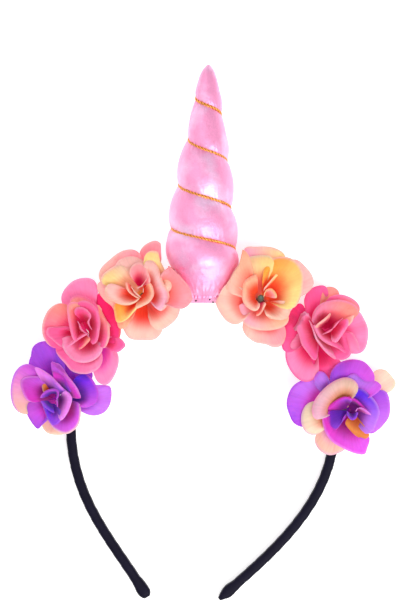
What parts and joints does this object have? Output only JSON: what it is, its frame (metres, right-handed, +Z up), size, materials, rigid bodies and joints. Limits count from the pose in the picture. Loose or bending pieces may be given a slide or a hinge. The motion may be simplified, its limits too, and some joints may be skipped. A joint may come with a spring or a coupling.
{
  "type": "unicorn horn headband",
  "caption": "Arched costume headband with a stuffed, cord-wound horn on its crown and fabric roses along its front.",
  "frame": {"origin": "under the middle of the whole headband, on the surface that it lies on", "axes": "+X the wearer's left, +Y from the open ends of the band to the horn's tip, +Z up, the side that faces forwards when worn"},
  "size_m": [0.1782, 0.2508, 0.0346],
  "materials": {
    "black_satin_ribbon": "satin",
    "metallic_pink_fabric": "pearlescent",
    "gold_cord": "metallic thread",
    "green_plastic": "matte",
    "purple_fabric": "matte",
    "pink_fabric": "matte",
    "peach_fabric": "matte"
  },
  "bodies": {
    "root": {"wrapped_band": "black_satin_ribbon", "horn": "metallic_pink_fabric", "spiral_cord": "gold_cord", "purple_rose_left_core": "green_plastic", "purple_rose_left_outer_petals": "purple_fabric", "purple_rose_left_middle_petals": "purple_fabric", "purple_rose_left_inner_petals": "purple_fabric", "purple_rose_left_bud": "purple_fabric", "pink_rose_left_core": "green_plastic", "pink_rose_left_outer_petals": "pink_fabric", "pink_rose_left_middle_petals": "pink_fabric", "pink_rose_left_inner_petals": "pink_fabric", "pink_rose_left_bud": "pink_fabric", "peach_rose_left_core": "green_plastic", "peach_rose_left_outer_petals": "peach_fabric", "peach_rose_left_middle_petals": "peach_fabric", "peach_rose_left_inner_petals": "peach_fabric", "peach_rose_left_bud": "peach_fabric", "peach_rose_right_core": "green_plastic", "peach_rose_right_outer_petals": "peach_fabric", "peach_rose_right_middle_petals": "peach_fabric", "peach_rose_right_inner_petals": "peach_fabric", "pink_rose_right_core": "green_plastic", "pink_rose_right_outer_petals": "pink_fabric", "pink_rose_right_middle_petals": "pink_fabric", "pink_rose_right_inner_petals": "pink_fabric", "pink_rose_right_bud": "pink_fabric", "purple_rose_right_core": "green_plastic", "purple_rose_right_outer_petals": "purple_fabric", "purple_rose_right_middle_petals": "purple_fabric", "purple_rose_right_inner_petals": "purple_fabric", "purple_rose_right_bud": "purple_fabric"}
  },
  "joints": []
}
